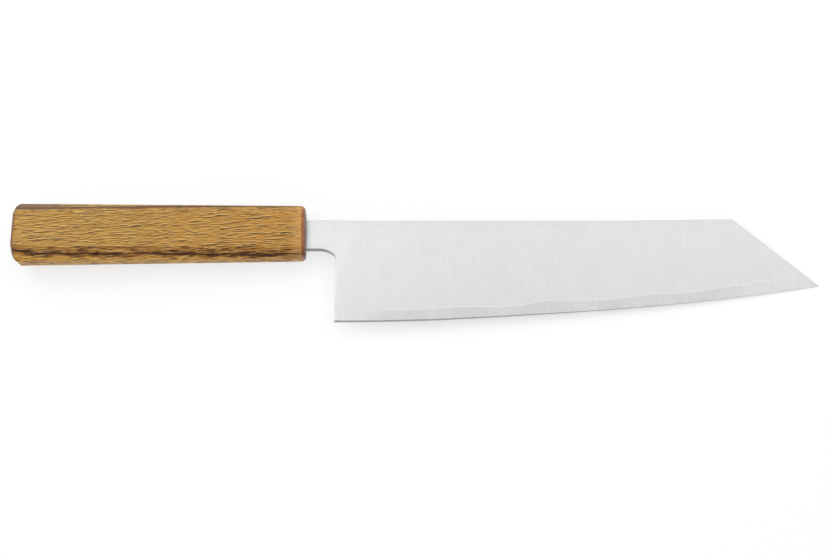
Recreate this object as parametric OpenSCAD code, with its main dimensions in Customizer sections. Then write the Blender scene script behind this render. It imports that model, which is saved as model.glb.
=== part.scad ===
// Kiritsuke kitchen knife with a plain octagonal oak handle, lying on its left side.
// The knife is drawn straight first: x runs from the front of the handle to the tip,
// y from the handle's axis up to the spine, and z out of the right side of the blade.
// lay() then sets it down on the table, where its handle and its tip touch z = 0.

/* [Blade outline] */
// Length of the cutting edge's side, from the heel to the tip
blade_length = 210; // [150:5:270]
// Height of the blade at the heel, from the edge to the spine
heel_height = 44.7; // [38:0.1:55]
// How far the tip stands above the level of the heel
tip_rise = 14.9; // [8:0.1:20]
// How far the edge bows below a straight line from the heel to the tip
edge_belly = 3.6; // [1:0.1:6]
// Length of the slanted front, along the spine, from its corner to the tip
point_length = 36.5; // [25:0.5:60]

/* [Blade thickness] */
// Thickness of the spine above the heel, and of the neck and tang behind it
spine_thickness = 2.6; // [2:0.1:4]
// Thickness of the spine at the corner of the slanted front
corner_thickness = 1.4; // [1:0.1:2]
// Thickness of the slanted front's back edge at the tip
tip_thickness = 0.6; // [0.5:0.05:0.8]
// Thickness just behind the sharpened bevel
edge_thickness = 0.44; // [0.4:0.02:0.6]
// Height of the sharpened bevel
edge_bevel = 0.7; // [0.3:0.1:1.2]
// Easing of the spine's corners, where the spine has its full thickness
spine_ease = 0.3; // [0.1:0.05:0.5]
// Length over which the point thins out to nothing
tip_taper = 1.2; // [0.9:0.1:3]

/* [Steel layers] */
// Thickness of the hard steel in the middle of the blade
core_thickness = 0.44; // [0.3:0.02:0.44]
// Mean height of hard steel that shows above the edge
core_reveal = 4.9; // [3:0.1:7]
// Rise and fall of the line where the soft steel ends
reveal_wave = 0.45; // [0:0.05:0.6]
// Distance from one crest of that line to the next
reveal_pitch = 39; // [25:1:60]
// Extra rise of that line at the slanted front
reveal_tip_rise = 3.4; // [0:0.1:5]

/* [Neck and tang] */
// Bare neck between the front of the handle and the heel
neck_length = 11.8; // [10:0.1:25]
// Height of the neck, measured down from the spine
neck_height = 13.8; // [11:0.1:15]
// Height of the spine above the handle's axis
spine_offset = 6; // [5:0.1:7]
// Radius of the long curve under the neck
choil_radius = 10; // [8:0.5:12]
// Radius of the tight curve that meets the heel's back edge
choil_corner = 2; // [1:0.1:3]
// How far the heel's back edge leans forward at its top
heel_lean = 0.9; // [0:0.1:1.5]
// Depth to which the neck enters the handle
neck_depth = 10; // [6:0.5:20]
// Length of the hidden tang behind the front of the handle
tang_length = 92; // [60:1:105]
// Height of the tang where it leaves the neck
tang_root = 9; // [7:0.1:9.4]
// Height of the tang at its end
tang_end = 5.5; // [4:0.1:6.5]

/* [Handle] */
// Length of the handle
handle_length = 124; // [115:1:160]
// Height of the handle at the butt
butt_height = 24.5; // [22:0.1:30]
// Thickness of the handle at the butt
butt_thickness = 19; // [17:0.1:24]
// Width of the butt's corner bevels, measured along the height
butt_bevel = 4.8; // [3:0.1:5.5]
// Height of the handle at the front
front_height = 22.6; // [21:0.1:28]
// Thickness of the handle at the front
front_thickness = 16; // [15:0.1:22]
// Width of the front's corner bevels, measured along the height
front_bevel = 4.1; // [3:0.1:5]
// Chamfer around the front face
front_chamfer = 1.4; // [0.5:0.1:2]
// Chamfer around the butt
butt_chamfer = 0.9; // [0.3:0.1:2]
// Doming of both end faces
end_dome = 0.6; // [0.3:0.1:1.5]
// Diameter of the hole that is drilled for the tang
tang_bore = 10; // [9.6:0.1:11]
// Room for adhesive around the neck, on each side
neck_gap = 0.2; // [0.1:0.05:0.5]
// Room for adhesive behind the tang
tang_end_gap = 3; // [1:0.5:6]
// Depth of the adhesive below the front face
adhesive_recess = 0.7; // [0.2:0.1:2]

/* [Hidden] */
$fn = 180;
// Spacing of the cross-sections along the blade, and of the points along the clad line
section_step = 15;
reveal_step = 3;
// Room that cutting shapes reach past what they cut
past = 5;

// Places along the knife
heel_x = neck_length;
tip_x = heel_x + blade_length;
corner_x = tip_x - point_length;
last_section_x = tip_x - tip_taper;

// Heights, measured from the handle's axis
spine_y = spine_offset;
heel_y = spine_y - heel_height;
tip_y = heel_y + tip_rise;
neck_y = spine_y - neck_height;

// Half of the blade's thickness at its landmarks
spine_half = spine_thickness / 2;
corner_half = corner_thickness / 2;
tip_half = tip_thickness / 2;
edge_half = edge_thickness / 2;
core_half = core_thickness / 2;

function mix(a, b, t) = a + (b - a) * t;
function clamp(t) = min(1, max(0, t));
function arc(centre, radius, from, to, steps) = [
    for (i = [0:steps])
        let (angle = mix(from, to, i / steps))
            centre + radius * [cos(angle), sin(angle)]
];

// The blade's lower and upper boundaries, and the height of the clad line, at a place x
function blade_share(x) = clamp((x - heel_x) / blade_length);
function point_share(x) = clamp((x - corner_x) / point_length);
function lower_y(x) =
    let (t = blade_share(x))
        heel_y + tip_rise * t - 4 * edge_belly * t * (1 - t);
function upper_y(x) = mix(spine_y, tip_y, point_share(x));
function clad_y(x) =
    lower_y(x) + core_reveal
    + reveal_wave * sin(360 * (x - heel_x) / reveal_pitch - 36)
    + reveal_tip_rise * pow(point_share(x), 2);

// Half of the thickness along the spine and just behind the edge, at a place x
function upper_half(x) =
    x < corner_x
    ? mix(spine_half, corner_half, clamp((x - heel_x) / (corner_x - heel_x)))
    : mix(corner_half, tip_half, point_share(x));
function lower_half(x) = mix(spine_half, edge_half, clamp(x / heel_x));

// One cross-section of the ground blade, from the edge round the spine and back
function section(x) =
    let (
        low = lower_y(x),
        high = upper_y(x),
        behind = lower_half(x),
        flank = upper_half(x),
        ease = spine_ease * flank / spine_half
    )
        [
            [x, low, 0],
            [x, low + edge_bevel, behind],
            [x, high - ease, flank],
            [x, high, flank - ease],
            [x, high, ease - flank],
            [x, high - ease, -flank],
            [x, low + edge_bevel, -behind]
        ];

// The ground blade with its full height carried back over the tang
module ground_blade() {
    stations = concat(
        [-tang_length - past, 0, heel_x / 2],
        [for (x = [heel_x:section_step:corner_x - section_step / 2]) x],
        [corner_x, mix(corner_x, last_section_x, 0.5), last_section_x]
    );
    sections = [for (x = stations) section(x)];
    around = len(sections[0]);
    last = len(sections) - 1;
    tip = around * (last + 1);
    sides = [
        for (i = [0:last - 1], j = [0:around - 1])
            let (
                a = i * around + j,
                b = i * around + (j + 1) % around,
                c = a + around,
                d = b + around
            )
                each j < around / 2 ? [[a, b, c], [b, d, c]] : [[a, b, d], [a, d, c]]
    ];
    back = [for (j = [1:around - 2]) [0, j + 1, j]];
    front = [for (j = [0:around - 1]) [last * around + j, last * around + (j + 1) % around, tip]];
    polyhedron(
        points = concat([for (ring = sections) each ring], [[tip_x, tip_y, 0]]),
        faces = concat(sides, back, front)
    );
}

// Outline of the heel, neck and tang; forward of the heel it is wider than the blade
module rear_outline() {
    turn = 51;
    choil_reach = choil_radius - choil_corner;
    choil_centre = [
        heel_x + heel_lean - choil_corner - choil_reach * cos(turn),
        neck_y - choil_radius
    ];
    corner_centre = choil_centre + choil_reach * [cos(turn), sin(turn)];
    polygon(concat(
        [
            [-tang_length, tang_end / 2],
            [-tang_length, -tang_end / 2],
            [-neck_depth, -tang_root / 2],
            [-neck_depth, neck_y]
        ],
        arc(choil_centre, choil_radius, 90, turn, 8),
        arc(corner_centre, choil_corner, turn - 10, 0, 4),
        [
            [heel_x, heel_y],
            [heel_x, heel_y - past],
            [tip_x + past, heel_y - past],
            [tip_x + past, spine_y + past],
            [-neck_depth, spine_y + past],
            [-neck_depth, tang_root / 2]
        ]
    ));
}

module blank() {
    intersection() {
        ground_blade();
        linear_extrude(height = 2 * spine_thickness, center = true)
            rear_outline();
    }
}

// The space of one soft layer: above the clad line and outside the hard middle layer
module cladding_space() {
    reveal_end = tip_x + past;
    line = [
        for (x = [heel_x - reveal_step:reveal_step:reveal_end]) [x, clad_y(x)]
    ];
    translate([0, 0, core_half])
        linear_extrude(height = spine_thickness)
            polygon(concat(
                [[-tang_length - past, spine_y + past], [-tang_length - past, clad_y(heel_x)]],
                line,
                [[reveal_end, spine_y + past]]
            ));
}

// Lowest points of the straight knife, which touch the table, and the slope that levels them
rest_handle = [-front_chamfer, -handle_half(front_thickness, butt_thickness, front_chamfer)];
rest_tip = [last_section_x, -upper_half(last_section_x)];
rest_slope = atan((rest_tip[1] - rest_handle[1]) / (rest_tip[0] - rest_handle[0]));
rest_height = rest_tip[0] * sin(rest_slope) - rest_tip[1] * cos(rest_slope);
butt_ball = dome_radius(butt_height);
butt_reach = butt_ball - (butt_ball - handle_length) * cos(rest_slope);
middle_x = (tip_x * cos(rest_slope) - butt_reach) / 2;
middle_y = (heel_y + butt_height / 2) / 2;

// Half of the handle's width at a distance behind its front
function handle_half(front, butt, behind) = mix(front, butt, behind / handle_length) / 2;

// Radius of the ball that domes an end face of a given height
function dome_radius(height) = (pow(height / 2, 2) + pow(end_dome, 2)) / (2 * end_dome);

module lay() {
    translate([-middle_x, -middle_y, rest_height])
        rotate([0, rest_slope, 0])
            children();
}

// Two opposite faces of the handle, tapered and chamfered at both ends
module facet_pair(turn, front, butt) {
    front_inner = handle_half(front, butt, front_chamfer);
    butt_inner = handle_half(front, butt, handle_length - butt_chamfer);
    side = [
        [-handle_length, butt / 2 - butt_chamfer],
        [butt_chamfer - handle_length, butt_inner],
        [-front_chamfer, front_inner],
        [0, front / 2 - front_chamfer]
    ];
    rotate([turn, 0, 0])
        rotate([90, 0, 0])
            linear_extrude(height = 2 * butt_height, center = true)
                polygon(concat(side, [for (i = [3:-1:0]) [side[i][0], -side[i][1]]]));
}

// A ball that domes one end face of the handle
module end_ball(end_x, height, inward) {
    radius = dome_radius(height);
    translate([end_x + inward * radius, 0, 0])
        sphere(r = radius);
}

function across_bevels(height, thickness, bevel) = (height + thickness - 2 * bevel) / sqrt(2);

module tang_hole(from_front) {
    rotate([0, -90, 0])
        translate([0, 0, neck_depth])
            cylinder(d = tang_bore, h = tang_length + tang_end_gap - neck_depth);
    translate([
        -neck_depth - neck_gap,
        neck_y - neck_gap,
        -spine_half - neck_gap
    ])
        cube([
            neck_depth + neck_gap - from_front,
            neck_height + 2 * neck_gap,
            spine_thickness + 2 * neck_gap
        ]);
}

module core_steel() {
    color("#d2d2d2")
        lay()
            difference() {
                blank();
                cladding_space();
                mirror([0, 0, 1])
                    cladding_space();
            }
}

module right_cladding() {
    color("#e4e4e4")
        lay()
            intersection() {
                blank();
                cladding_space();
            }
}

module left_cladding() {
    color("#dedede")
        lay()
            intersection() {
                blank();
                mirror([0, 0, 1])
                    cladding_space();
            }
}

module handle() {
    bevel_front = across_bevels(front_height, front_thickness, front_bevel);
    bevel_butt = across_bevels(butt_height, butt_thickness, butt_bevel);
    color("#b88a4b")
        lay()
            difference() {
                intersection() {
                    facet_pair(0, front_thickness, butt_thickness);
                    facet_pair(90, front_height, butt_height);
                    facet_pair(45, bevel_front, bevel_butt);
                    facet_pair(-45, bevel_front, bevel_butt);
                    end_ball(0, front_height, -1);
                    end_ball(-handle_length, butt_height, 1);
                }
                tang_hole(-past);
            }
}

module tang_adhesive() {
    color("#4a3a2c")
        lay()
            difference() {
                tang_hole(adhesive_recess);
                blank();
            }
}

core_steel();
right_cladding();
left_cladding();
handle();
tang_adhesive();
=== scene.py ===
"""Looks of the kiritsuke knife: a satin three-layer blade and a lacquered octagonal oak handle."""
import math

import bmesh
import bpy
import numpy as np
from mathutils import Euler, Matrix, Vector
from mathutils.geometry import delaunay_2d_cdt


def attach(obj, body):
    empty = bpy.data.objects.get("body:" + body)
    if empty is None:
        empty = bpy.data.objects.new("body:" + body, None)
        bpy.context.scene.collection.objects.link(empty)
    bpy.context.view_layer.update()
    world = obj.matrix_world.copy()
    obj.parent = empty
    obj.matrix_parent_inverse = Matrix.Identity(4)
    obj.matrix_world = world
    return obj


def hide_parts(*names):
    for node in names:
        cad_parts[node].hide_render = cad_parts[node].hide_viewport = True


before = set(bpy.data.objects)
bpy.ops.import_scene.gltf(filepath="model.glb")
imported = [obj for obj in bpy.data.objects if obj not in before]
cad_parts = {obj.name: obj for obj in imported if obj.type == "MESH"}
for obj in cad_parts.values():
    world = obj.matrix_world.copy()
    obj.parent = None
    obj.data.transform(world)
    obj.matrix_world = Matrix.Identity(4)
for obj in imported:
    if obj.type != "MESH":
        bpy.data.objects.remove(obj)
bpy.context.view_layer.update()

MM = 0.001

# Sizes of the straight knife in millimetres: x from the handle's front to the tip,
# y from the handle's axis up to the spine, z out of the right side
HEEL_X, TIP_X, CORNER_X = 11.8, 221.8, 185.3
SPINE_Y, HEEL_Y, TIP_Y, NECK_Y = 6.0, -38.7, -23.8, -7.8
BLADE_LENGTH, EDGE_BELLY = 210.0, 3.6
SPINE_HALF, CORNER_HALF, EDGE_HALF, CORE_HALF = 1.3, 0.7, 0.22, 0.22
TIP_TAPER = 1.2
# Height of the edge bevel at the heel and at the tip, and the bulge of the flanks
BEVEL_AT_HEEL, BEVEL_AT_TIP, FLANK_BULGE = 0.95, 0.18, 1.8
# The neck's underside turns down by a large radius, then by a small one; the heel leans
# forward a little at its top
NECK_RADIUS, NECK_TURN, NECK_CORNER_RADIUS, HEEL_LEAN = 10.0, 51, 2.0, 0.9
NECK_LIFT = 0.2
POINT_RADIUS = 2.0
NECK_DEPTH, TANG_LENGTH, TANG_ROOT, TANG_END = 10.0, 92.0, 9.0, 5.5

HANDLE_LENGTH = 124.0
BUTT_HEIGHT, BUTT_THICKNESS, BUTT_BEVEL = 24.5, 19.0, 4.8
FRONT_HEIGHT, FRONT_THICKNESS, FRONT_BEVEL = 22.6, 16.0, 4.1
END_DOME = 0.40
MOUTH_GAP = 0.2
TANG_BORE = 10.0

# The straight knife is laid down on its side: turned about Y, then lifted to rest on the table
REST_SLOPE = math.radians(1.98747)
LAY_DOWN = (
    Matrix.Translation(Vector((-48.832880, 13.225, 7.963560)) * MM)
    @ Matrix.Rotation(REST_SLOPE, 4, "Y")
)


def mix(a, b, t):
    """The value at share t of the way from a to b."""
    return a + (b - a) * t


def clamp(t):
    """A share kept between 0 and 1."""
    return min(1.0, max(0.0, t))


def ease(t):
    """A share that starts and stops softly."""
    t = clamp(t)
    return t * t * (3 - 2 * t)


# Shader helpers

def srgb(code):
    """Linear colour of an sRGB hex code such as "b8894a"."""
    parts = [int(code[i:i + 2], 16) / 255 for i in (0, 2, 4)]
    return [c / 12.92 if c <= 0.04045 else ((c + 0.055) / 1.055) ** 2.4 for c in parts] + [1.0]


def grey(level):
    """A neutral colour; above 1 it brightens what it multiplies."""
    return [level, level, level, 1.0]


def add(tree, kind, sockets=(), out=0, stops=(), **settings):
    """Adds a node with its settings, its sockets' values or links and a ramp's stops."""
    made = tree.nodes.new(kind)
    for name, value in settings.items():
        setattr(made, name, value)
    for socket, value in dict(sockets).items():
        if isinstance(value, bpy.types.NodeSocket):
            tree.links.new(value, made.inputs[socket])
        else:
            made.inputs[socket].default_value = value
    if stops:
        shades = made.color_ramp.elements
        while len(shades) < len(stops):
            shades.new(0.5)
        for shade, (place, colour) in zip(shades, stops):
            shade.position, shade.color = place, colour
    return made.outputs[out]


def principled(name):
    """A new material with its tree and its Principled shader."""
    material = bpy.data.materials.new(name)
    material.use_nodes = True
    return material, material.node_tree, material.node_tree.nodes["Principled BSDF"]


def straight_place(tree):
    """Object coordinates brought back to the straight knife, in millimetres."""
    here = add(tree, "ShaderNodeTexCoord", out="Object")
    return add(
        tree, "ShaderNodeMapping",
        {
            "Vector": here, "Location": LAY_DOWN.to_translation(),
            "Rotation": (0, REST_SLOPE, 0), "Scale": (MM, MM, MM),
        },
        vector_type="TEXTURE",
    )


def grain_cells(tree, cell, turn=0.0, shift=(0, 0, 0)):
    """Straight coordinates counted in pattern cells, whose size is in millimetres."""
    turned = add(
        tree, "ShaderNodeMapping",
        {"Vector": straight_place(tree), "Rotation": (0, 0, math.radians(turn))},
    )
    scale = [1 / size for size in cell]
    return add(tree, "ShaderNodeMapping", {"Vector": turned, "Location": shift, "Scale": scale})


# Camera, light and table

def photo_camera():
    """The photograph's camera: nearly overhead, from the edge's side."""
    focal_px, photo_width_px, sensor_mm = 1300, 833, 36
    data = bpy.data.cameras.new("camera")
    data.sensor_width = sensor_mm
    data.sensor_fit = "HORIZONTAL"
    data.lens = focal_px / photo_width_px * sensor_mm
    data.clip_start, data.clip_end = 0.01, 20
    made = bpy.data.objects.new("camera", data)
    made.location = Vector((-2.51, -124.41, 551.77)) * MM
    made.rotation_euler = Euler([math.radians(a) for a in (12.248, 0.05, -0.618)], "XYZ")
    bpy.context.scene.collection.objects.link(made)
    bpy.context.scene.camera = made


def softbox(name, place, size, radiance, aim=None):
    """A rectangular soft light whose power follows from its radiance; 1 lights paper to white."""
    data = bpy.data.lights.new(name, "AREA")
    data.shape = "RECTANGLE"
    data.size, data.size_y = size
    data.energy = radiance * 4 * size[0] * size[1]
    made = bpy.data.objects.new(name, data)
    made.location = place
    if aim is not None:
        made.rotation_euler = (Vector(aim) - Vector(place)).to_track_quat("-Z", "Y").to_euler()
    bpy.context.scene.collection.objects.link(made)
    return made


# Brightness of the dim surround, and of paper on the open table
SURROUND = 0.33
OPEN_TABLE = 1.09
# Share of the real shading in the table's white, below the handle and below the blade
HANDLE_SHADE, BLADE_SHADE = 0.26, 0.39
# Softboxes that overlap hang at different heights, because a ray meets only one at one height
SOFTBOXES = (
    ("overhead_softbox", (-0.25, 1.05, 1.10), (2.8, 2.4), 0.92, None),
    ("left_strip", (-0.30, 0.28, 1.04), (0.5, 0.9), 0.15, None),
    ("left_softbox", (-0.65, 0.35, 1.06), (0.8, 1.2), 0.68, None),
    ("right_back_softbox", (0.75, 0.60, 1.07), (0.9, 0.6), 0.26, None),
    ("right_front_softbox", (0.90, -0.35, 1.05), (1.0, 0.6), 0.58, None),
    ("left_panel", (-1.7, 0.2, 0.7), (2.4, 1.3), 0.70, (0, 0, 0.3)),
    ("front_fill", (0, -1.3, 0.55), (2.4, 0.8), 0.80, (0, 0, 0)),
)


def studio():
    """A white table under soft lights; the largest reaches back behind the spine."""
    world = bpy.data.worlds.new("studio")
    world.use_nodes = True
    bpy.context.scene.world = world
    tree = world.node_tree
    surround = add(
        tree, "ShaderNodeMix",
        {0: add(tree, "ShaderNodeLightPath", out="Is Camera Ray"), 6: grey(SURROUND), 7: grey(1)},
        out=2, data_type="RGBA",
    )
    tree.links.new(surround, tree.nodes["Background"].inputs["Color"])
    for name, place, size, radiance, aim in SOFTBOXES:
        made = softbox(name, place, size, radiance, aim)
        # The fill is a matt reflector: the steel and the lacquer mirror nothing of it
        made.visible_glossy = name != "front_fill"

    bpy.ops.mesh.primitive_plane_add(size=6, location=(0, 0, 0))
    table = bpy.context.object
    table.name = "table"
    material = bpy.data.materials.new("white_table")
    material.use_nodes = True
    tree = material.node_tree
    tree.nodes.remove(tree.nodes["Principled BSDF"])
    # The table is seen partly as paper that takes the shadow and partly as a white glow;
    # rays that only carry light meet plain paper
    seen = add(tree, "ShaderNodeLightPath", out="Is Camera Ray")
    for ray in ("Is Glossy Ray", "Is Transmission Ray"):
        other = add(tree, "ShaderNodeLightPath", out=ray)
        seen = add(tree, "ShaderNodeMath", {0: seen, 1: other}, operation="MAXIMUM")
    paper = add(tree, "ShaderNodeBsdfDiffuse", {"Color": srgb("f2f2f2")})
    here = add(tree, "ShaderNodeTexCoord", out="Object")
    share = add(
        tree, "ShaderNodeMapRange",
        {
            "Value": add(tree, "ShaderNodeSeparateXYZ", {0: here}),
            "From Min": -0.04, "From Max": 0.0, "To Min": HANDLE_SHADE, "To Max": BLADE_SHADE,
        },
    )
    # Far from the knife the table is plain white
    away = add(tree, "ShaderNodeVectorMath", {0: here}, out="Value", operation="LENGTH")
    near = add(tree, "ShaderNodeMapRange", {"Value": away, "From Min": 1.2, "From Max": 0.5})
    share = add(tree, "ShaderNodeMath", {0: share, 1: near}, operation="MULTIPLY")
    shade = add(tree, "ShaderNodeBsdfDiffuse", {"Color": share})
    rest = add(tree, "ShaderNodeMath", {0: share, 1: -OPEN_TABLE, 2: 1.0}, operation="MULTIPLY_ADD")
    glow = add(tree, "ShaderNodeEmission", {"Strength": rest})
    lit = add(tree, "ShaderNodeAddShader", {0: shade, 1: glow})
    both = add(tree, "ShaderNodeMixShader", {0: seen, 1: paper, 2: lit})
    tree.links.new(both, tree.nodes["Material Output"].inputs["Surface"])
    table.data.materials.append(material)


# Materials

# Shades along the blade, as (x in millimetres, shade)
CLADDING_COLOUR = [(HEEL_X, "c1c1c1"), (TIP_X, "c1c1c1")]
# The core looks paler where the light meets it flatter, at the heel and towards the tip
CORE_COLOUR = [
    (HEEL_X, "c4c4c4"), (HEEL_X + 22, "bbbbbb"), (HEEL_X + 165, "bbbbbb"), (HEEL_X + 190, "c2c2c2"),
]
# Cells of the hairlines and of the faint clouds. Real hairlines are about 0.1 mm wide; these
# are 0.4 mm and more, so that they show
HAIRLINE_CELL, CLOUD_CELL = (0.8, 9, 9), (11, 14, 14)
# The hairlines show more on the hard core
CLADDING_CONTRAST, CORE_CONTRAST = 1.3, 2.4
STEEL_ROUGHNESS = 0.36
# The painted highlight along the clad line: its height above the boundary, and where it starts and
# ends to fade
CLAD_LINE_RISE, CLAD_LINE_FULL, CLAD_LINE_FADED = 0.1, 0.1, 0.38
CLAD_LINE_HIGHLIGHT_GAIN, CLAD_LINE_AT_HEEL = 1.05, 0.3
# Painted shade: the steel's colour is darkened by this factor at the spine
SPINE_SHADE_GAIN = 0.965


def hairline_steel(name, colour, contrast):
    """Stainless steel ground from spine to edge: a soft sheen with hairlines across the blade.

    Colour is a row of (x in millimetres, shade), from the heel to the tip.
    """
    material, tree, shader = principled(name)
    lines = add(
        tree, "ShaderNodeTexNoise",
        {"Vector": grain_cells(tree, HAIRLINE_CELL), "Scale": 1, "Detail": 3, "Roughness": 0.65},
    )
    patches = add(
        tree, "ShaderNodeTexNoise",
        {"Vector": grain_cells(tree, CLOUD_CELL), "Scale": 1, "Detail": 4, "Roughness": 0.6},
    )
    x = add(tree, "ShaderNodeSeparateXYZ", {0: straight_place(tree)})
    low, high = colour[0][0], colour[-1][0]
    along = add(tree, "ShaderNodeMapRange", {"Value": x, "From Min": low, "From Max": high})
    base = add(
        tree, "ShaderNodeValToRGB", {"Fac": along},
        stops=[((at - low) / (high - low), srgb(shade)) for at, shade in colour],
    )
    depth = add(
        tree, "ShaderNodeMapRange",
        {
            "Value": lines, "From Min": 0.3, "From Max": 0.7,
            "To Min": 1 - 0.025 * contrast, "To Max": 1 + 0.02 * contrast,
        },
    )
    # Towards the spine the steel is painted a little darker, as painted shade
    spine_shade = add(
        tree, "ShaderNodeMapRange",
        {
            "Value": x.node.outputs["Y"], "From Min": SPINE_Y - 4, "From Max": SPINE_Y,
            "To Min": 1.0, "To Max": SPINE_SHADE_GAIN,
        },
    )
    depth = add(tree, "ShaderNodeMath", {0: depth, 1: spine_shade}, operation="MULTIPLY")
    hairline = add(tree, "ShaderNodeVectorMath", {0: base, "Scale": depth}, operation="SCALE")
    cloud = add(
        tree, "ShaderNodeValToRGB", {"Fac": patches},
        stops=[(0.32, grey(1 - 0.03 * contrast)), (0.68, grey(1))],
    )
    ground = add(
        tree, "ShaderNodeMix", {0: 1.0, 6: hairline, 7: cloud}, out=2,
        data_type="RGBA", blend_type="MULTIPLY",
    )
    # The two steels meet along a real seam, painted as a hair-thin highlight that fades towards the
    # heel
    height = add(tree, "ShaderNodeAttribute", out="Fac", attribute_name="above_clad_line")
    past = add(tree, "ShaderNodeMath", {0: height, 1: CLAD_LINE_RISE}, operation="SUBTRACT")
    distance = add(tree, "ShaderNodeMath", {0: past}, operation="ABSOLUTE")
    bright = add(
        tree, "ShaderNodeMapRange",
        {"Value": distance, "From Min": CLAD_LINE_FADED, "From Max": CLAD_LINE_FULL},
    )
    heel_fade = add(
        tree, "ShaderNodeMapRange",
        {
            "Value": x, "From Min": HEEL_X + 5, "From Max": HEEL_X + 30,
            "To Min": CLAD_LINE_AT_HEEL,
        },
    )
    bright = add(tree, "ShaderNodeMath", {0: bright, 1: heel_fade}, operation="MULTIPLY")
    line = add(tree, "ShaderNodeVectorMath", {0: base, "Scale": CLAD_LINE_HIGHLIGHT_GAIN}, operation="SCALE")
    finish = add(tree, "ShaderNodeMix", {0: bright, 6: ground, 7: line}, out=2, data_type="RGBA")
    tree.links.new(finish, shader.inputs["Base Color"])
    bump = add(tree, "ShaderNodeBump", {"Height": lines, "Strength": 0.04, "Distance": 0.05 * MM})
    tree.links.new(bump, shader.inputs["Normal"])
    shader.inputs["Metallic"].default_value = 1.0
    shader.inputs["Roughness"].default_value = STEEL_ROUGHNESS
    return material


# Turn of the oak's grain against the handle's axis, in degrees
GRAIN_TURN = -3.5
# Cells of the fibres, of their broad figure and of the dark ring's swelling. Real fibre bundles
# are about 0.1 mm wide; these are 0.3 mm, so that they show
FIBRE_CELL, FIGURE_CELL, SWELLING_CELL = (5.2, 0.31, 0.31), (26, 2.6, 2.6), (4.5, 12, 12)
FIBRE_PLACES = (0.30, 0.44, 0.56, 0.70)
# Dashes as (cell, length, width, shift of the cells). Real pores are 0.2 to 0.3 mm wide;
# these are coarser, so that they show
PORES = (
    ((10.0, 1.45, 1.45), 9.6, 0.56, (0, 0, 0)),
    ((6.2, 1.25, 1.25), 5.8, 0.50, (0.37, 0.61, 0.23)),
    ((3.3, 1.15, 1.15), 2.9, 0.42, (0.71, 0.13, 0.57)),
)
EARLY_WOOD_FLECKS = ((5.5, 1.5, 1.5), 4.6, 0.8, (0.17, 0.43, 0.77))
RING_VESSELS = ((7.0, 2.2, 2.2), 6.0, 1.3, (0.53, 0.29, 0.91))
# Each pore has a painted highlight on its lip this far above it
LIP_RISE, LIP_HIGHLIGHT_SHARE, PORE_SHARE = 0.38, 0.55, 0.95
# Growth rings as (height, climb, wander, rise at the butt)
LOWER_SHEET = (-9.97, 0.0, 0.55, 1.5)
UPPER_SHEET = (11.98, 0.019, 0.2, 0.0)
# How a ring's sheet swings, as (cell, detail, reach in millimetres at a wander of 1)
SHEET_SWINGS = (((26, 30, 30), 1, 2.0), ((8, 9, 9), 3, 2.8))
# Bands as (shade, row of (distance in millimetres, share of the shade)). First those along x
WARM_FRONT = ("de8c30", [(-126.0, 0.0), (-75.0, 0.0), (-25.0, 0.13), (2.0, 0.13)])
# Paler over the last few millimetres before the front end
PALE_FRONT_END = ("f0c07e", [(-7.0, 0.0), (-3.0, 0.18), (-1.8, 0.18), (-1.6, 0.0)])
# Painted shade along the butt's rounded edge
BUTT_EDGE_SHADE = ("55301c", [
    (-126.0, 0.3), (-123.8, 0.3), (-123.6, 0.85), (-123.35, 0.85), (-122.8, 0.3), (-121.8, 0.0),
])
# Then those above a growth ring
# Below the lower ring the bottom face is painted paler, as painted light thrown up from the white
# table
PAINTED_BOUNCE_ZONE = ("dba040", [(-4.0, 0.22), (-1.5, 0.30), (-1.1, 0.0)])
LOWER_RING_ZONE = ("80440f", [
    (-1.5, 0.0), (-1.0, 0.36), (-0.5, 0.6), (0.4, 0.5), (2.3, 0.42), (2.7, 0.0),
])
LOWER_RING = ("2a150c", [(-0.55, 0.0), (-0.25, 0.80), (0.1, 0.85), (0.4, 0.0)])
UPPER_RING = ("4a322c", [(-0.75, 0.0), (-0.3, 0.8), (0.4, 0.8), (0.8, 0.15), (2.0, 0.15)])
BUTT_STAIN, STAIN_SHARE = "6a5248", 0.65
# Fibre shades from the darkest to the brightest, pore, painted lip highlight and weight of the
# clear coat
SIDE_GRAIN = (("815428", "a57a38", "b78e45", "c79e51"), "3c1a14", "e2c07a", 0.0)
END_GRAIN = (("7f4426", "985630", "aa6238", "b87044"), "6e3420", "b87044", 0.25)
# The end faces are painted grey, as a painted reflection of the pale surroundings in their lacquer
END_FACE_PAINTED_REFLECTION = (("6e5c55", "806d65", "8d7970", "98837a"), "5c4a42", "98837a", 0.25)


def pore_dashes(tree, cell, length, width, shift):
    """Short dashes, one in each cell, in the grain's direction: 1 in a pore and 0 beside it."""
    place = grain_cells(tree, cell, GRAIN_TURN, shift)
    nearest = add(tree, "ShaderNodeTexVoronoi", {"Vector": place, "Scale": 1}, out="Position")
    offset = add(
        tree, "ShaderNodeVectorMath", {0: place, 1: nearest}, operation="SUBTRACT",
    )
    reach = (cell[0] / length, cell[1] / width, cell[2] / (1.6 * width))
    stretched = add(tree, "ShaderNodeVectorMath", {0: offset, 1: reach}, operation="MULTIPLY")
    distance = add(
        tree, "ShaderNodeVectorMath", {0: stretched}, out="Value", operation="LENGTH",
    )
    depth = add(tree, "ShaderNodeMapRange", {"Value": distance, "From Min": 0.53, "From Max": 0.40})
    parts = add(tree, "ShaderNodeSeparateColor", {0: nearest.node.outputs["Color"]})
    chance = add(tree, "ShaderNodeMath", {0: parts, 1: 0.6}, operation="POWER")
    return add(tree, "ShaderNodeMath", {0: depth, 1: chance}, operation="MULTIPLY")


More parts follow.
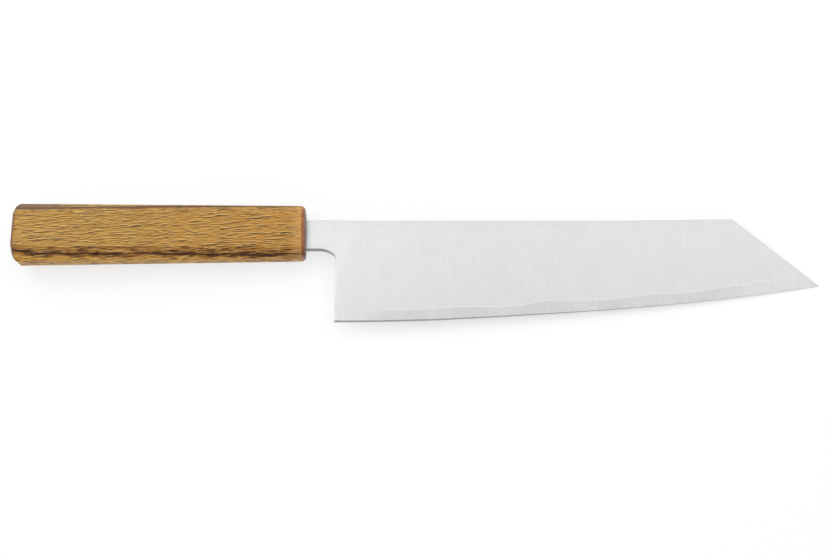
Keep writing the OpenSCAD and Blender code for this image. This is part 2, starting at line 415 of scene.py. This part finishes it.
def ring_distance(tree, height, climb, wander, butt_rise):
    """Distance above a growth ring's sheet in millimetres; the sheet climbs and wanders."""
    place = straight_place(tree)
    x = add(tree, "ShaderNodeSeparateXYZ", {0: place}, out="X")
    sheet = add(tree, "ShaderNodeMath", {0: x, 1: climb, 2: height}, operation="MULTIPLY_ADD")
    # Near the butt the sheet turns up
    turn_up = add(
        tree, "ShaderNodeMapRange",
        {"Value": x, "From Min": -112, "From Max": -124, "To Max": butt_rise},
    )
    sheet = add(tree, "ShaderNodeMath", {0: sheet, 1: turn_up}, operation="ADD")
    for cell, detail, reach in SHEET_SWINGS:
        swing = add(
            tree, "ShaderNodeTexNoise",
            {"Vector": grain_cells(tree, cell), "Scale": 1, "Detail": detail, "Roughness": 0.6},
        )
        centred = add(tree, "ShaderNodeMath", {0: swing, 1: 0.5}, operation="SUBTRACT")
        sheet = add(
            tree, "ShaderNodeMath", {0: centred, 1: reach * wander, 2: sheet},
            operation="MULTIPLY_ADD",
        )
    return add(tree, "ShaderNodeMath", {0: x.node.outputs["Y"], 1: sheet}, operation="SUBTRACT")


def painted_band(tree, colour, distance, shade, stops):
    """Mixes a shade into a colour by distance; stops are (millimetres, share of the shade)."""
    low, high = stops[0][0], stops[-1][0]
    place = add(tree, "ShaderNodeMapRange", {"Value": distance, "From Min": low, "From Max": high})
    share = add(
        tree, "ShaderNodeValToRGB", {"Fac": place},
        stops=[((at - low) / (high - low), grey(value)) for at, value in stops],
    )
    return add(
        tree, "ShaderNodeMix", {0: share, 6: colour, 7: srgb(shade)}, out=2, data_type="RGBA",
    )


def oak(name, fibre_shades, pore, lip_highlight, coat):
    """Oak under wiped lacquer: dark pores along the grain, fine bright fibres and dark rings."""
    material, tree, shader = principled(name)
    # Each fibre bundle is a paler or darker streak of the wood, with a painted highlight on one
    # side and painted shade on the other, as if lit across an open groove
    grooves = [
        add(
            tree, "ShaderNodeTexNoise",
            {
                "Vector": grain_cells(tree, FIBRE_CELL, GRAIN_TURN, (0, aside, 0)),
                "Scale": 1, "Detail": 3, "Roughness": 0.7, "Lacunarity": 1.7,
            },
        )
        for aside in (0, 1.35)
    ]
    painted_groove_light = add(tree, "ShaderNodeMath", {0: grooves[0], 1: grooves[1]}, operation="SUBTRACT")
    fibres = add(
        tree, "ShaderNodeMath", {0: painted_groove_light, 1: 0.6, 2: grooves[0]}, operation="MULTIPLY_ADD",
    )
    figure = add(
        tree, "ShaderNodeTexNoise",
        {
            "Vector": grain_cells(tree, FIGURE_CELL, GRAIN_TURN), "Scale": 1,
            "Detail": 3, "Roughness": 0.6,
        },
    )
    body = add(
        tree, "ShaderNodeValToRGB", {"Fac": fibres},
        stops=list(zip(FIBRE_PLACES, map(srgb, fibre_shades))),
    )
    cloud = add(
        tree, "ShaderNodeValToRGB", {"Fac": figure}, stops=[(0.35, grey(0.92)), (0.65, grey(1.0))],
    )
    colour = add(
        tree, "ShaderNodeMix", {0: 1.0, 6: body, 7: cloud}, out=2,
        data_type="RGBA", blend_type="MULTIPLY",
    )
    # Towards the blade the oak is a warmer colour
    x = add(tree, "ShaderNodeSeparateXYZ", {0: straight_place(tree)}, out="X")
    colour = painted_band(tree, colour, x, *WARM_FRONT)
    # A dark ring crops out along the lower bevel, a thinner one along the upper bevel
    lower = ring_distance(tree, *LOWER_SHEET)
    colour = painted_band(tree, colour, lower, *LOWER_RING_ZONE)
    # The bottom face below the ring is painted paler, as painted light from the white table
    colour = painted_band(tree, colour, lower, *PAINTED_BOUNCE_ZONE)
    early_wood = add(
        tree, "ShaderNodeMapRange", {"Value": lower, "From Min": 3.2, "From Max": 1.8},
    )
    flecks = pore_dashes(tree, *EARLY_WOOD_FLECKS)
    flecks = add(tree, "ShaderNodeMath", {0: flecks, 1: early_wood}, operation="MULTIPLY")
    # Larger vessels crowd along the ring
    aside = add(tree, "ShaderNodeMath", {0: lower}, operation="ABSOLUTE")
    along = add(tree, "ShaderNodeMapRange", {"Value": aside, "From Min": 1.7, "From Max": 0.9})
    vessels = pore_dashes(tree, *RING_VESSELS)
    vessels = add(tree, "ShaderNodeMath", {0: vessels, 1: along}, operation="MULTIPLY")
    flecks = add(tree, "ShaderNodeMath", {0: flecks, 1: vessels}, operation="MAXIMUM")
    # Each pore's upper lip gets a painted highlight, where the lacquer would catch the light
    pores, lip_highlights = flecks, 0.0
    for cell, length, width, shift in PORES:
        more = pore_dashes(tree, cell, length, width, shift)
        pores = add(tree, "ShaderNodeMath", {0: pores, 1: more}, operation="MAXIMUM")
        above = (shift[0], shift[1] - LIP_RISE / cell[1], shift[2])
        more = pore_dashes(tree, cell, length, width, above)
        lip_highlights = add(tree, "ShaderNodeMath", {0: lip_highlights, 1: more}, operation="MAXIMUM")
    share = add(tree, "ShaderNodeMath", {0: lip_highlights, 1: LIP_HIGHLIGHT_SHARE}, operation="MULTIPLY")
    colour = add(
        tree, "ShaderNodeMix", {0: share, 6: colour, 7: srgb(lip_highlight)}, out=2, data_type="RGBA",
    )
    share = add(tree, "ShaderNodeMath", {0: pores, 1: PORE_SHARE}, operation="MULTIPLY")
    colour = add(
        tree, "ShaderNodeMix", {0: share, 6: colour, 7: srgb(pore)}, out=2, data_type="RGBA",
    )
    # The ring is thick in some places and thin in others
    swelling = add(
        tree, "ShaderNodeTexNoise",
        {"Vector": grain_cells(tree, SWELLING_CELL), "Scale": 1, "Detail": 2, "Roughness": 0.6},
    )
    thickness = add(
        tree, "ShaderNodeMapRange",
        {"Value": swelling, "From Min": 0.35, "From Max": 0.65, "To Min": 0.5, "To Max": 1.9},
    )
    narrow = add(tree, "ShaderNodeMath", {0: lower, 1: thickness}, operation="DIVIDE")
    colour = painted_band(tree, colour, narrow, *LOWER_RING)
    upper = ring_distance(tree, *UPPER_SHEET)
    colour = painted_band(tree, colour, upper, *UPPER_RING)
    # At the butt the upper bevel is stained by the ring
    stain = add(
        tree, "ShaderNodeMapRange",
        {"Value": x, "From Min": -96, "From Max": -112, "To Max": STAIN_SHARE},
    )
    above = add(tree, "ShaderNodeMapRange", {"Value": upper, "From Min": -0.9, "From Max": -0.2})
    stain = add(tree, "ShaderNodeMath", {0: stain, 1: above}, operation="MULTIPLY")
    colour = add(
        tree, "ShaderNodeMix", {0: stain, 6: colour, 7: srgb(BUTT_STAIN)}, out=2, data_type="RGBA",
    )
    # The oak is paler over the last few millimetres before the front end
    colour = painted_band(tree, colour, x, *PALE_FRONT_END)
    # The butt's rounded edge, which slants, is painted dark as painted shade, and its end face is
    # tinted a little darker
    from_butt = add(
        tree, "ShaderNodeMath",
        {0: x.node.outputs["Y"], 1: -BUTT_SLANT, 2: x}, operation="MULTIPLY_ADD",
    )
    colour = painted_band(tree, colour, from_butt, *BUTT_EDGE_SHADE)
    tree.links.new(colour, shader.inputs["Base Color"])
    sunk = add(tree, "ShaderNodeMath", {0: pores, 1: -1.0}, operation="MULTIPLY")
    bump = add(tree, "ShaderNodeBump", {"Height": sunk, "Strength": 0.3, "Distance": 0.1 * MM})
    tree.links.new(bump, shader.inputs["Normal"])
    shader.inputs["Roughness"].default_value = 0.5
    shader.inputs["Specular IOR Level"].default_value = 0.2
    shader.inputs["Coat Weight"].default_value = coat
    shader.inputs["Coat Roughness"].default_value = 0.2
    return material


def cured_adhesive(name):
    """Cured epoxy in the mouth of the handle: dark, matt and slightly uneven."""
    material, tree, shader = principled(name)
    mottle = add(
        tree, "ShaderNodeTexNoise",
        {"Vector": grain_cells(tree, (1.2, 1.2, 1.2)), "Scale": 1, "Detail": 3},
    )
    colour = add(
        tree, "ShaderNodeValToRGB", {"Fac": mottle},
        stops=[(0.3, srgb("2e231c")), (0.7, srgb("46362b"))],
    )
    tree.links.new(colour, shader.inputs["Base Color"])
    shader.inputs["Roughness"].default_value = 0.6
    return material


# Blade

def edge_y(x):
    """The edge: a parabola, flattened before the middle and fuller behind the point."""
    share = clamp((x - HEEL_X) / BLADE_LENGTH)
    wave = 0.28 * math.sin(math.tau * max(0, share - 0.2) / 0.75)
    # The second half of the wave, behind the point, is the weaker one
    wave = max(wave, 0.6 * wave)
    wave *= ease(share / 0.12) * ease((1 - share) / 0.08)
    return HEEL_Y + (TIP_Y - HEEL_Y) * share - 4 * EDGE_BELLY * share * (1 - share) + wave


def spine_y(x):
    """The spine: a hair hollow behind the neck, rising a little towards the point."""
    drop, hollow, rise = 0.22, 0.26, 0.50
    return SPINE_Y - drop - hollow * ease((x - 8) / 30) + rise * ease((x - 125) / 60)


def back_y(x):
    """The back's height along the slanted front, from the point's corner to the tip."""
    return mix(spine_y(CORNER_X), TIP_Y, clamp((x - CORNER_X) / (TIP_X - CORNER_X)))


def bevel_height(x):
    """Height of the edge bevel, which narrows towards the tip."""
    return mix(BEVEL_AT_HEEL, BEVEL_AT_TIP, clamp((x - HEEL_X) / BLADE_LENGTH) ** 0.5)


# Height of the clad line above the edge, at distances from the heel, on the right side
CLAD_HEIGHTS = [
    (-1, 6.3), (2, 6.0), (11, 4.9), (31, 4.8), (54, 5.2), (76, 4.2), (91, 5.8), (103, 4.9),
    (121, 4.5), (127, 5.0), (140, 5.2), (153, 4.6), (166, 5.0), (172, 5.4), (178, 4.5),
    (183, 6.1), (190, 5.4), (193, 6.5), (198, 6.7), (203, 7.9), (212, 9.6),
]


def clad_y(x, side):
    """Height of the clad line; it wanders differently on the two sides of the blade."""
    behind = x - HEEL_X
    if side > 0:
        for (x0, h0), (x1, h1) in zip(CLAD_HEIGHTS, CLAD_HEIGHTS[1:]):
            if behind <= x1:
                break
        height = mix(h0, h1, ease((behind - x0) / (x1 - x0)))
    else:
        point = clamp((x - CORNER_X) / (TIP_X - CORNER_X))
        height = 4.9 + 0.45 * math.sin(math.tau * behind / 39 - 0.63) + 3.4 * point ** 2
    ripple = 0.10 * math.sin(behind * 0.83 + side) + 0.06 * math.sin(behind * 1.9 + 2 * side)
    return edge_y(x) + height + ripple


def flank(x, y):
    """Half of the thickness before the borders are rounded: convex from spine to edge."""
    spine_half = mix(SPINE_HALF, CORNER_HALF, max(0, (x - HEEL_X) / (CORNER_X - HEEL_X)))
    edge_half = EDGE_HALF * bevel_height(x) / bevel_height(HEEL_X)
    behind_edge = mix(spine_half, edge_half, ease(x / HEEL_X))
    low, shoulder = edge_y(x), edge_y(x) + bevel_height(x)
    rise = clamp((y - shoulder) / (spine_y(x) - shoulder))
    half = mix(behind_edge, spine_half, 1 - (1 - rise) ** FLANK_BULGE)
    if y < shoulder:
        half = behind_edge * clamp((y - low) / (shoulder - low))
    return half * clamp((TIP_X - x) / TIP_TAPER)


def arc(centre, radius, start, stop, steps):
    """Points of an arc between two angles in degrees, both ends in."""
    return [
        centre + radius * Vector((math.cos(a), math.sin(a)))
        for a in (math.radians(mix(start, stop, i / steps)) for i in range(steps + 1))
    ]


def spaced(start, stop, step):
    """Points of a straight line, both ends in, spaced at most step apart."""
    count = max(1, math.ceil((stop - start).length / step))
    return [start.lerp(stop, i / count) for i in range(count + 1)]


# Roundings of the borders as (reach inwards in millimetres, share of the thickness taken off)
NECK_ROUNDING = (1.4, 0.8)
BEND_ROUNDING = (0.5, 0.32)
HEEL_ROUNDING = (0.3, 0.2)
# The heel's share grows to this towards the edge
HEEL_END_SHARE = 0.35
BACK_ROUNDING = (0.42, 0.14)
LEAST_REACH = 0.12


def rounded_borders():
    """The borders with rounded corners, as rows of (point, reach inwards, share of thickness)."""
    neck_y, turn = NECK_Y + NECK_LIFT, math.radians(NECK_TURN)
    small, spread = NECK_CORNER_RADIUS, NECK_RADIUS - NECK_CORNER_RADIUS
    bend_x = HEEL_X + HEEL_LEAN - small
    centre = Vector((bend_x - spread * math.cos(turn), neck_y - NECK_RADIUS))
    corner = centre + spread * Vector((math.cos(turn), math.sin(turn)))
    neck = spaced(Vector((-NECK_DEPTH, neck_y)), Vector((centre.x, neck_y)), 1.0)
    bend = arc(centre, NECK_RADIUS, 90, NECK_TURN, 22)[1:]
    bend += arc(corner, small, NECK_TURN, 0, 12)[1:]
    heel = spaced(bend[-1], Vector((HEEL_X, HEEL_Y)), 1.5)[1:]
    heel = sorted(heel + [clad_line(side)[0] for side in (1, -1)], key=lambda p: -p.y)
    under = [(p, *NECK_ROUNDING) for p in neck]
    for i, p in enumerate(bend):
        fade = ease((i + 1) / len(bend))
        under.append((p, *(mix(a, b, fade) for a, b in zip(NECK_ROUNDING, BEND_ROUNDING))))
    for i, p in enumerate(heel):
        fade, down = clamp((i + 1) / 5), (i + 1) / len(heel)
        reach, share = (mix(a, b, fade) for a, b in zip(BEND_ROUNDING, HEEL_ROUNDING))
        under.append((p, reach, max(share, HEEL_END_SHARE * down)))

    direction = Vector((TIP_X - CORNER_X, TIP_Y - spine_y(CORNER_X))).normalized()
    fillet, half_turn = POINT_RADIUS, math.atan2(-direction.y, direction.x) / 2
    reach = fillet * math.tan(half_turn)
    top_corner = Vector((CORNER_X, spine_y(CORNER_X)))
    corner_arc = arc(
        top_corner - Vector((reach, fillet)), fillet, 90, 90 - math.degrees(2 * half_turn), 6
    )
    back = spaced(Vector((TIP_X, TIP_Y)), top_corner + direction * reach, 1.5)
    back = sorted(back + [clad_line(side)[-1] for side in (1, -1)], key=lambda p: -p.x)
    back += corner_arc[::-1][1:]
    for p in spaced(corner_arc[0], Vector((-NECK_DEPTH, SPINE_Y)), 2.5)[1:]:
        back.append(Vector((p.x, spine_y(p.x))))
    widest, share = BACK_ROUNDING
    back = [(p, max(LEAST_REACH, widest * flank(p.x, p.y) / SPINE_HALF), share) for p in back]
    return under, back


def inward(row, i):
    """Inward direction at a point of a border that runs with the steel on its left."""
    before = row[i][0] - row[max(0, i - 1)][0]
    after = row[min(len(row) - 1, i + 1)][0] - row[i][0]
    before = before.normalized() if before.length > 0 else after.normalized()
    after = after.normalized() if after.length > 0 else before
    middle = (before + after).normalized()
    normal = Vector((-middle.y, middle.x))
    return normal / max(0.3, middle.dot(after))


def front_crossing(line_y, drop):
    """Where the slanted front's border, moved in by drop, meets a line along the blade."""
    low, high = CORNER_X, TIP_X
    slope = Vector((TIP_X - CORNER_X, TIP_Y - spine_y(CORNER_X))).normalized()
    for _ in range(40):
        x = (low + high) / 2
        if back_y(x) - drop / slope.x > line_y(x):
            low = x
        else:
            high = x
    return Vector((low, line_y(low)))


def clad_line(side):
    """The clad line's points on one side, from the heel's border to the slanted front's."""
    end = front_crossing(lambda x: clad_y(x, side), 0)
    line = [Vector((x, clad_y(x, side))) for x in np.arange(HEEL_X, end.x - 0.3, 0.75)]
    return line + [end]


# Steps of a rounding, as shares of its reach: closer together where the corner is steeper
ROUND_STEPS = [1 - math.cos(math.radians(a)) for a in (12, 24, 36, 48, 60, 75, 90)]


def blade_plan(side):
    """One side's plan: triangles cut along the clad line, the shoulder and the roundings."""
    under, back = rounded_borders()
    edge_line = [Vector((x, edge_y(x))) for x in np.linspace(HEEL_X, TIP_X, 141)]
    tang = [Vector(p) for p in (
        (-NECK_DEPTH, TANG_ROOT / 2), (-TANG_LENGTH, TANG_END / 2),
        (-TANG_LENGTH, -TANG_END / 2), (-NECK_DEPTH, -TANG_ROOT / 2),
    )]
    lines = []
    for share in ROUND_STEPS:
        line = [p + inward(under, i) * reach * share for i, (p, reach, _) in enumerate(under)]
        x = HEEL_X + under[-1][1] * share
        line[-1] = Vector((x, edge_y(x)))
        edge_line.append(line[-1])
        lines.append(line)
        line = [p + inward(back, i) * reach * share for i, (p, reach, _) in enumerate(back)]
        line = [p for p in line if p.x < TIP_X - 1.5]
        line.insert(0, front_crossing(edge_y, back[0][1] * share))
        edge_line.append(line[0])
        lines.append(line)
    edge_line.sort(key=lambda p: p.x)
    outline = [p for p, _, _ in under] + edge_line[1:] + [p for p, _, _ in back][1:] + tang

    along_blade = np.arange(HEEL_X - 0.8, TIP_X, 1.5)
    lines.append([Vector((x, edge_y(x) + bevel_height(x))) for x in along_blade])
    clad = clad_line(side)
    lines.append(clad)
    for shift in (-0.4, 0.4):
        lines.append([p + Vector((0, shift)) for p in clad[1:-2]])

    points, edges = list(outline), [(i, (i + 1) % len(outline)) for i in range(len(outline))]
    for line in lines:
        start = len(points)
        points += line
        edges += [(start + i, start + i + 1) for i in range(len(line) - 1)]
    # Points of a grid fill the space between the lines
    fixed, step_x, step_y, clearance = np.array(points), 3.0, 2.5, 1.1
    for x in np.arange(-TANG_LENGTH + step_x, TIP_X, step_x):
        for y in np.arange(HEEL_Y - step_y, SPINE_Y, step_y):
            if np.min(np.hypot(fixed[:, 0] - x, fixed[:, 1] - y)) > clearance:
                points.append(Vector((x, y)))
    plan_points, _, triangles, *_ = delaunay_2d_cdt(points, edges, [], 0, 1e-5)
    middles = np.array([sum((plan_points[i] for i in t), Vector((0, 0))) / 3 for t in triangles])
    # Triangles outside of the outline are left out: a ray from their middle says which they are
    corners = np.array(outline)
    ahead = np.roll(corners, -1, axis=0)
    inside = np.zeros(len(middles), bool)
    for (x0, y0), (x1, y1) in zip(corners, ahead):
        if y0 != y1:
            crosses = (y0 > middles[:, 1]) != (y1 > middles[:, 1])
            inside ^= crosses & (middles[:, 0] < x0 + (middles[:, 1] - y0) * (x1 - x0) / (y1 - y0))
    plan = [(tuple(t), tuple(m)) for t, m, keep in zip(triangles, middles, inside) if keep]
    return plan_points, plan, (under, back)


def blade_heights(points, borders):
    """Half of the finished thickness at each point of the plan."""
    place = np.array(points)
    full = np.array([flank(p.x, p.y) for p in points])
    floor = np.minimum(CORE_HALF, 0.6 * full)
    height = full.copy()
    for row in borders:
        start = np.array([p for p, _, _ in row])
        values = np.array([(reach, share) for _, reach, share in row])
        nearest = np.full(len(place), 1e9)
        reach, share = np.ones(len(place)), np.zeros(len(place))
        for a, b, va, vb in zip(start, start[1:], values, values[1:]):
            run = b - a
            t = np.clip(((place - a) @ run) / (run @ run), 0, 1)
            distance = np.hypot(*(place - a - t[:, None] * run).T)
            closer = distance < nearest
            nearest[closer] = distance[closer]
            reach[closer] = (va[0] + (vb[0] - va[0]) * t)[closer]
            share[closer] = (va[1] + (vb[1] - va[1]) * t)[closer]
        bend = np.sqrt(1 - (1 - np.clip(nearest / reach, 0, 1)) ** 2)
        height = np.minimum(height, full - share * (full - floor) * (1 - bend))
    return height


def take_up(piece):
    """Makes one object the only selected and the active one."""
    bpy.ops.object.select_all(action="DESELECT")
    piece.select_set(True)
    bpy.context.view_layer.objects.active = piece


# Reach of the welding, length of the slivers taken out and room for a point that lies on the
# shoulder, in millimetres
WELD_REACH, SLIVER, SHOULDER_ROOM = 0.0005, 0.0002, 0.004
# Edges that turn by less than this, in degrees, are shaded smooth
STEEL_SMOOTH, OAK_SMOOTH = 28, 35


def steel_piece(name, faces, material, node):
    """A closed steel layer from its faces, welded, turned outwards and laid down."""
    corners, index = [], []
    for face in faces:
        index.append(range(len(corners), len(corners) + len(face)))
        corners += face
    mesh = bpy.data.meshes.new(name)
    mesh.from_pydata(corners, [], [list(i) for i in index])
    piece = bpy.data.objects.new(name, mesh)
    bpy.context.scene.collection.objects.link(piece)
    take_up(piece)
    bpy.ops.object.mode_set(mode="EDIT")
    bpy.ops.mesh.select_all(action="SELECT")
    bpy.ops.mesh.remove_doubles(threshold=WELD_REACH)
    bpy.ops.mesh.dissolve_degenerate(threshold=SLIVER)
    bpy.ops.mesh.normals_make_consistent(inside=False)
    bpy.ops.object.mode_set(mode="OBJECT")
    height = mesh.attributes.new("above_clad_line", "FLOAT", "POINT")
    for vertex, value in zip(mesh.vertices, height.data):
        x, y, z = vertex.co
        value.value = y - clad_y(x, 1 if z >= 0 else -1)
    # The shoulder of the edge bevel stays a crisp line
    shoulder = [
        abs(v.co.y - edge_y(v.co.x) - bevel_height(v.co.x)) < SHOULDER_ROOM for v in mesh.vertices
    ]
    for edge in mesh.edges:
        edge.use_edge_sharp = all(shoulder[i] for i in edge.vertices)
    mesh.transform(LAY_DOWN @ Matrix.Scale(MM, 4))
    bpy.ops.object.shade_smooth_by_angle(angle=math.radians(STEEL_SMOOTH), keep_sharp_edges=True)
    mesh.materials.append(material)
    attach(piece, "root")
    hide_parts(node)


def blade():
    """Core and claddings. The grind follows a formula, so it is built from a plan by mesh code."""
    core_faces, cladding_faces = [], {1: [], -1: []}
    for side in (1, -1):
        points, plan, borders = blade_plan(side)
        heights = blade_heights(points, borders)
        # The core thins out with the blade, so that it never comes through the cladding
        layer = np.minimum(CORE_HALF, 0.8 * heights)

        def at(i, z):
            return (points[i].x, points[i].y, side * z)

        # Each plan edge with the steels of the triangles that share it: True is cladding
        edge_owners = {}
        for triangle, (x, y) in plan:
            soft = y > clad_y(x, side)
            for a, b in zip(triangle, triangle[1:] + triangle[:1]):
                edge_owners.setdefault((min(a, b), max(a, b)), []).append(soft)
            surface = [at(i, heights[i]) for i in triangle]
            if soft:
                middle = [at(i, layer[i]) for i in triangle]
                cladding_faces[side] += [surface, middle[::-1]]
                core_faces.append(middle)
            else:
                core_faces.append(surface)
        # Upright walls close the layers along the outline and along the clad line
        for (a, b), owners in edge_owners.items():
            layers = [at(a, layer[a]), at(b, layer[b]), at(b, heights[b]), at(a, heights[a])]
            if len(owners) == 2 and owners[0] == owners[1]:
                continue
            if len(owners) == 2:
                cladding_faces[side].append(layers)
                core_faces.append(layers)
            elif owners[0]:
                cladding_faces[side].append(layers)
                core_faces.append([at(a, 0), at(b, 0), at(b, layer[b]), at(a, layer[a])])
            else:
                core_faces.append([at(a, 0), at(b, 0)] + layers[1:] + layers[:1])
    cladding = hairline_steel("hairline_cladding_steel", CLADDING_COLOUR, CLADDING_CONTRAST)
    core = hairline_steel("satin_core_steel", CORE_COLOUR, CORE_CONTRAST)
    steel_piece("hard_core", core_faces, core, "core_steel")
    steel_piece("right_soft_layer", cladding_faces[1], cladding, "right_cladding")
    steel_piece("left_soft_layer", cladding_faces[-1], cladding, "left_cladding")


# Handle

# Distance of each facet from the handle's axis, at the front and at the butt, by its turn
# from the spine's side
FRONT_CORNER = (FRONT_HEIGHT + FRONT_THICKNESS - 2 * FRONT_BEVEL) / math.sqrt(8)
BUTT_CORNER = (BUTT_HEIGHT + BUTT_THICKNESS - 2 * BUTT_BEVEL) / math.sqrt(8)
FACETS = {
    0: (FRONT_HEIGHT / 2 + 0.4, BUTT_HEIGHT / 2 + 0.35),
    45: (FRONT_CORNER + 0.1, BUTT_CORNER + 0.15),
    90: (FRONT_THICKNESS / 2, BUTT_THICKNESS / 2),
    135: (FRONT_CORNER, BUTT_CORNER + 0.15),
    180: (FRONT_HEIGHT / 2 - 0.1, BUTT_HEIGHT / 2 + 0.3),
    225: (FRONT_CORNER, BUTT_CORNER + 0.15),
    270: (FRONT_THICKNESS / 2, BUTT_THICKNESS / 2),
    315: (FRONT_CORNER + 0.1, BUTT_CORNER + 0.15),
}
# Rounded ends as points from the facet to the end's face, each (in from the facet, back from
# the end), by the facet's turn
BROAD_FRONT_ROUNDING = (
    (0, 1.95), (0.32, 1.45), (0.72, 0.95), (1.1, 0.60), (1.7, 0.24), (2.4, 0.0),
)
FRONT_ROUNDINGS = {90: BROAD_FRONT_ROUNDING, 270: BROAD_FRONT_ROUNDING}
FRONT_ROUNDING = ((0, 1.75), (0.4, 1.0), (0.85, 0.52), (1.45, 0.18), (2.3, 0.0))
BUTT_ROUNDINGS = {
    135: ((0, 1.2), (0.3, 0.7), (0.7, 0.32), (1.2, 0.08), (1.6, 0.0)),
    0: ((0, 1.85), (0.9, 1.0), (1.85, 0.4), (2.8, 0.08), (3.6, 0.0)),
    180: ((0, 1.75), (0.6, 1.1), (1.4, 0.65), (2.4, 0.35), (3.6, 0.15), (5.0, 0.0)),
}
SMALL_BUTT_ROUNDING = ((0, 0.6), (0.28, 0.24), (0.7, 0.07), (1.1, 0.0))
# The butt leans forward at its top by this share of the height
BUTT_SLANT = 0.031
# The middle of the front stands this far ahead of x = 0
FRONT_REACH = 0.02
# Distances from the axis at which an end's dome is cut
DOME_RINGS = (6.5, 4.2, 2.0)
FACET_EDGE_RADIUS = 0.32
BLOCK = (HANDLE_LENGTH + 2, 30, 30)
# From this turn towards the front a face shows end grain, and from the second one, or from the
# first towards the butt, an end face painted grey as a painted reflection of the pale surroundings
END_GRAIN_FROM, END_FACE_FROM = 0.42, 0.72


def plane_cut(place, normal):
    """Saws off what lies beyond a plane and closes the cut."""
    bpy.ops.mesh.select_all(action="SELECT")
    bpy.ops.mesh.bisect(
        plane_co=Vector(place) * MM, plane_no=Vector(normal), clear_outer=True, use_fill=True,
        threshold=1e-7,
    )


def end_cuts(out, half, rounding, end_x, way):
    """Rounds one end below one facet, then carries the rounding on as a shallow dome."""
    widest = BUTT_HEIGHT / 2
    profile = [(half - inwards, back) for inwards, back in rounding]
    profile += [(ring, 0.0) for ring in DOME_RINGS if ring < profile[-1][0] - 1]
    profile = [(r, back + END_DOME * (r / widest) ** 2) for r, back in profile]
    for (r0, back0), (r1, back1) in zip(profile, profile[1:]):
        plane_cut(
            out * r0 + Vector((end_x - way * back0, 0, 0)),
            out * (back0 - back1) + Vector((way * (r0 - r1), 0, 0)),
        )


def oak_handle():
    """The octagonal handle, sawn from a block facet by facet, rounded, domed and drilled."""
    bpy.ops.object.select_all(action="DESELECT")
    bpy.ops.mesh.primitive_cube_add(size=1, location=(-HANDLE_LENGTH / 2 * MM, 0, 0))
    piece = bpy.context.object
    piece.name = "octagonal_handle"
    piece.scale = Vector(BLOCK) * MM
    bpy.ops.object.transform_apply(location=True, rotation=True, scale=True)
    bpy.ops.object.mode_set(mode="EDIT")
    sides = []
    for turn, (front, butt) in FACETS.items():
        out = Vector((0, math.cos(math.radians(turn)), math.sin(math.radians(turn))))
        plane_cut(out * front, out + Vector(((butt - front) / HANDLE_LENGTH, 0, 0)))
        sides.append((turn, out, front, butt))
    round_long_edges(piece)
    for turn, out, front, butt in sides:
        end_cuts(out, front, FRONT_ROUNDINGS.get(turn, FRONT_ROUNDING), FRONT_REACH, 1)
        end_cuts(out, butt, BUTT_ROUNDINGS.get(turn, SMALL_BUTT_ROUNDING), -HANDLE_LENGTH, -1)
    # The butt is sawn at a slant
    mesh = bmesh.from_edit_mesh(piece.data)
    for vertex in mesh.verts:
        if vertex.co.x < -HANDLE_LENGTH / 2 * MM:
            vertex.co.x += BUTT_SLANT * vertex.co.y
    bmesh.update_edit_mesh(piece.data)
    bpy.ops.mesh.select_all(action="SELECT")
    bpy.ops.mesh.normals_make_consistent(inside=False)
    bpy.ops.object.mode_set(mode="OBJECT")
    drill(piece)
    side_grain = oak("lacquered_oak", *SIDE_GRAIN)
    end_grain = oak("oak_end_grain", *END_GRAIN)
    end_face_reflection = oak("oak_end_grain_painted_reflection", *END_FACE_PAINTED_REFLECTION)
    # The order gives the faces their material numbers
    piece.data.materials.clear()
    for material in (side_grain, end_grain, end_face_reflection):
        piece.data.materials.append(material)
    for polygon in piece.data.polygons:
        towards_front = polygon.normal.x
        polygon.material_index = 1 if towards_front > END_GRAIN_FROM else 0
        if towards_front > END_FACE_FROM or towards_front < -END_GRAIN_FROM:
            polygon.material_index = 2
    piece.data.transform(LAY_DOWN)
    bpy.ops.object.shade_smooth_by_angle(angle=math.radians(OAK_SMOOTH))
    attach(piece, "root")
    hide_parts("handle")


def round_long_edges(piece):
    """Softens the eight lines between the facets."""
    mesh = bmesh.from_edit_mesh(piece.data)
    bpy.ops.mesh.select_mode(type="EDGE")
    bpy.ops.mesh.select_all(action="DESELECT")
    for edge in mesh.edges:
        run = edge.verts[1].co - edge.verts[0].co
        edge.select = abs(run.x) > HANDLE_LENGTH / 2 * MM
    bmesh.update_edit_mesh(piece.data)
    bpy.ops.mesh.bevel(offset=FACET_EDGE_RADIUS * MM, segments=3, affect="EDGES")


def drill(piece):
    """Takes the neck's mouth and the tang's hole out of the handle."""
    bpy.ops.object.select_all(action="DESELECT")
    half = SPINE_HALF + MOUTH_GAP
    low, high = NECK_Y - MOUTH_GAP, SPINE_Y + MOUTH_GAP
    back, front = -NECK_DEPTH - MOUTH_GAP, 2.0
    bpy.ops.mesh.primitive_cube_add(
        size=1, location=Vector(((back + front) / 2, (low + high) / 2, 0)) * MM
    )
    mouth = bpy.context.object
    mouth.scale = Vector((front - back, high - low, 2 * half)) * MM
    depth = TANG_LENGTH + 3 - NECK_DEPTH
    bpy.ops.mesh.primitive_cylinder_add(
        vertices=48, radius=TANG_BORE / 2 * MM, depth=depth * MM,
        location=Vector((-NECK_DEPTH - depth / 2, 0, 0)) * MM, rotation=(0, math.pi / 2, 0),
    )
    bore = bpy.context.object
    for cutter in (mouth, bore):
        take_up(cutter)
        bpy.ops.object.transform_apply(location=True, rotation=True, scale=True)
        cut = piece.modifiers.new("cut", "BOOLEAN")
        cut.operation = "DIFFERENCE"
        cut.solver = "MANIFOLD"
        cut.object = cutter
        take_up(piece)
        bpy.ops.object.modifier_apply(modifier="cut")
        bpy.data.objects.remove(cutter)


def repaint(node_name, material):
    """Gives a CAD node that stays its finish."""
    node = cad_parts[node_name]
    node.data.materials.clear()
    node.data.materials.append(material)


bpy.context.scene.view_settings.view_transform = "Standard"
photo_camera()
studio()
blade()
oak_handle()
repaint("tang_adhesive", cured_adhesive("cured_epoxy"))
